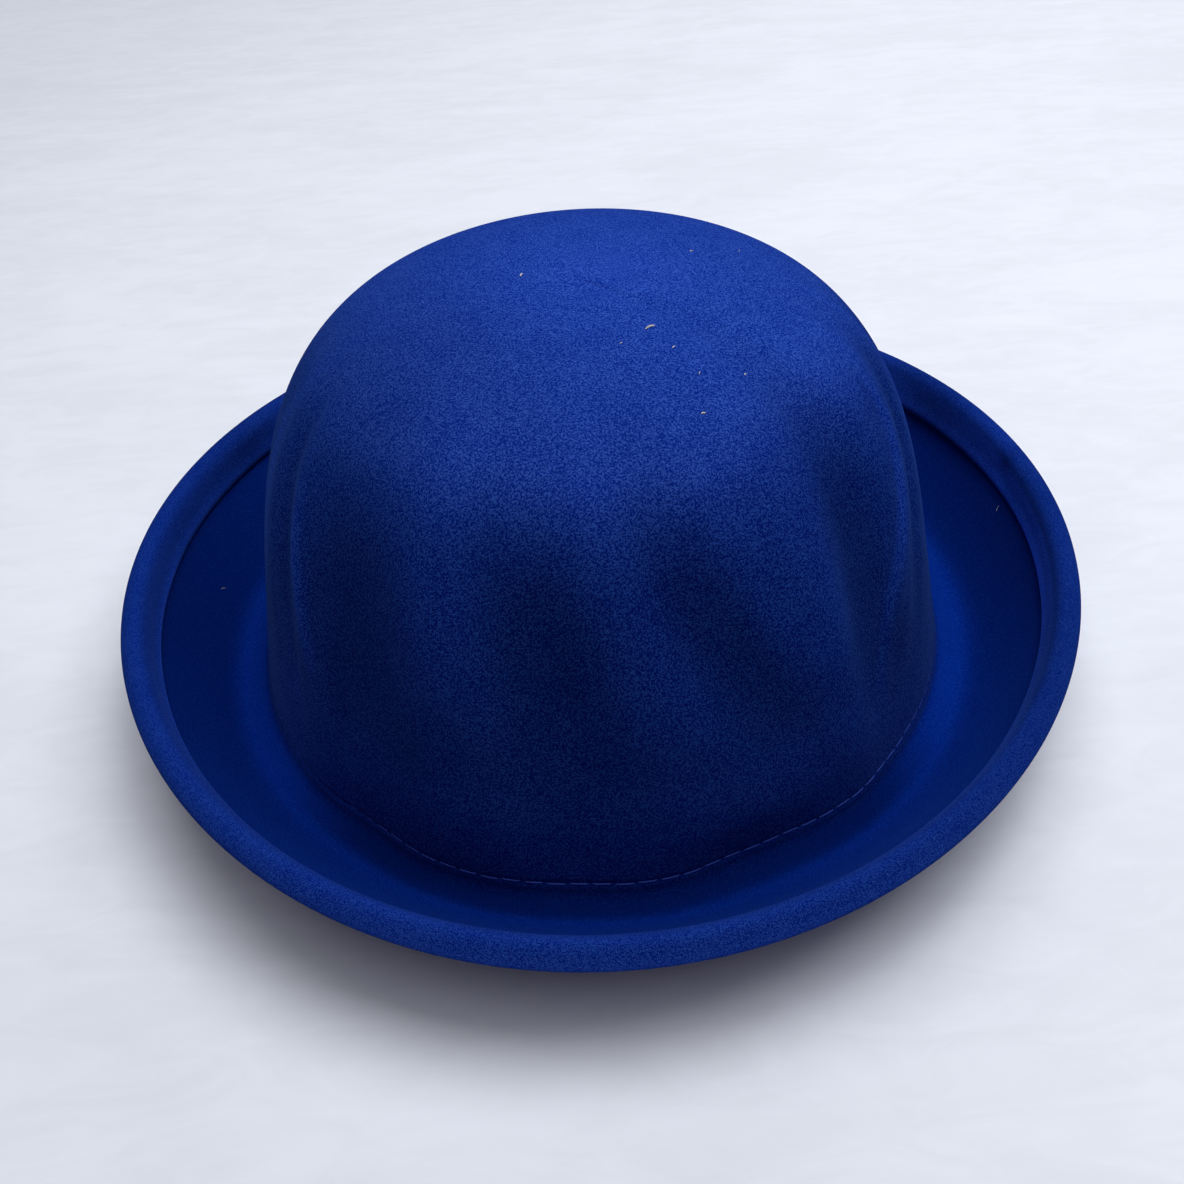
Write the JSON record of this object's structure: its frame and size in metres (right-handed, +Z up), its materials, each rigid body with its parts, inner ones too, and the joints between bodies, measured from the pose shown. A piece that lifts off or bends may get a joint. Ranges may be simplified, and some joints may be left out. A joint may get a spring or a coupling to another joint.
{
  "type": "bowler hat",
  "caption": "Felt bowler hat with a round crown, a rolled brim with a turned hem over a wire, and a stitched ribbon sweatband inside.",
  "frame": {"origin": "centre of the hat's bounding box, on the plane of the flat ring that the hat rests on", "axes": "+Z up through the top of the crown; Y runs front to back, the longer way of the oval, and +Y is the centre back, where the ribbon laps and the wire is joined; X runs side to side"},
  "size_m": [0.2444, 0.2716, 0.101],
  "materials": {
    "felt": "royal blue wool felt, matt, with a fine raised nap",
    "ribbon": "navy ribbed grosgrain ribbon",
    "outside_thread": "blue sewing thread, smoother than the felt",
    "inside_thread": "navy sewing thread",
    "spring_wire": "plain drawn spring wire",
    "joiner_tube": "thin zinc-plated steel tube"
  },
  "bodies": {
    "root": {"felt_body": "felt", "brim_wire": "spring_wire", "wire_joiner": "joiner_tube", "sweatband": "ribbon", "needle_thread": "outside_thread", "bobbin_thread": "inside_thread", "lap_thread": "inside_thread"}
  },
  "joints": []
}
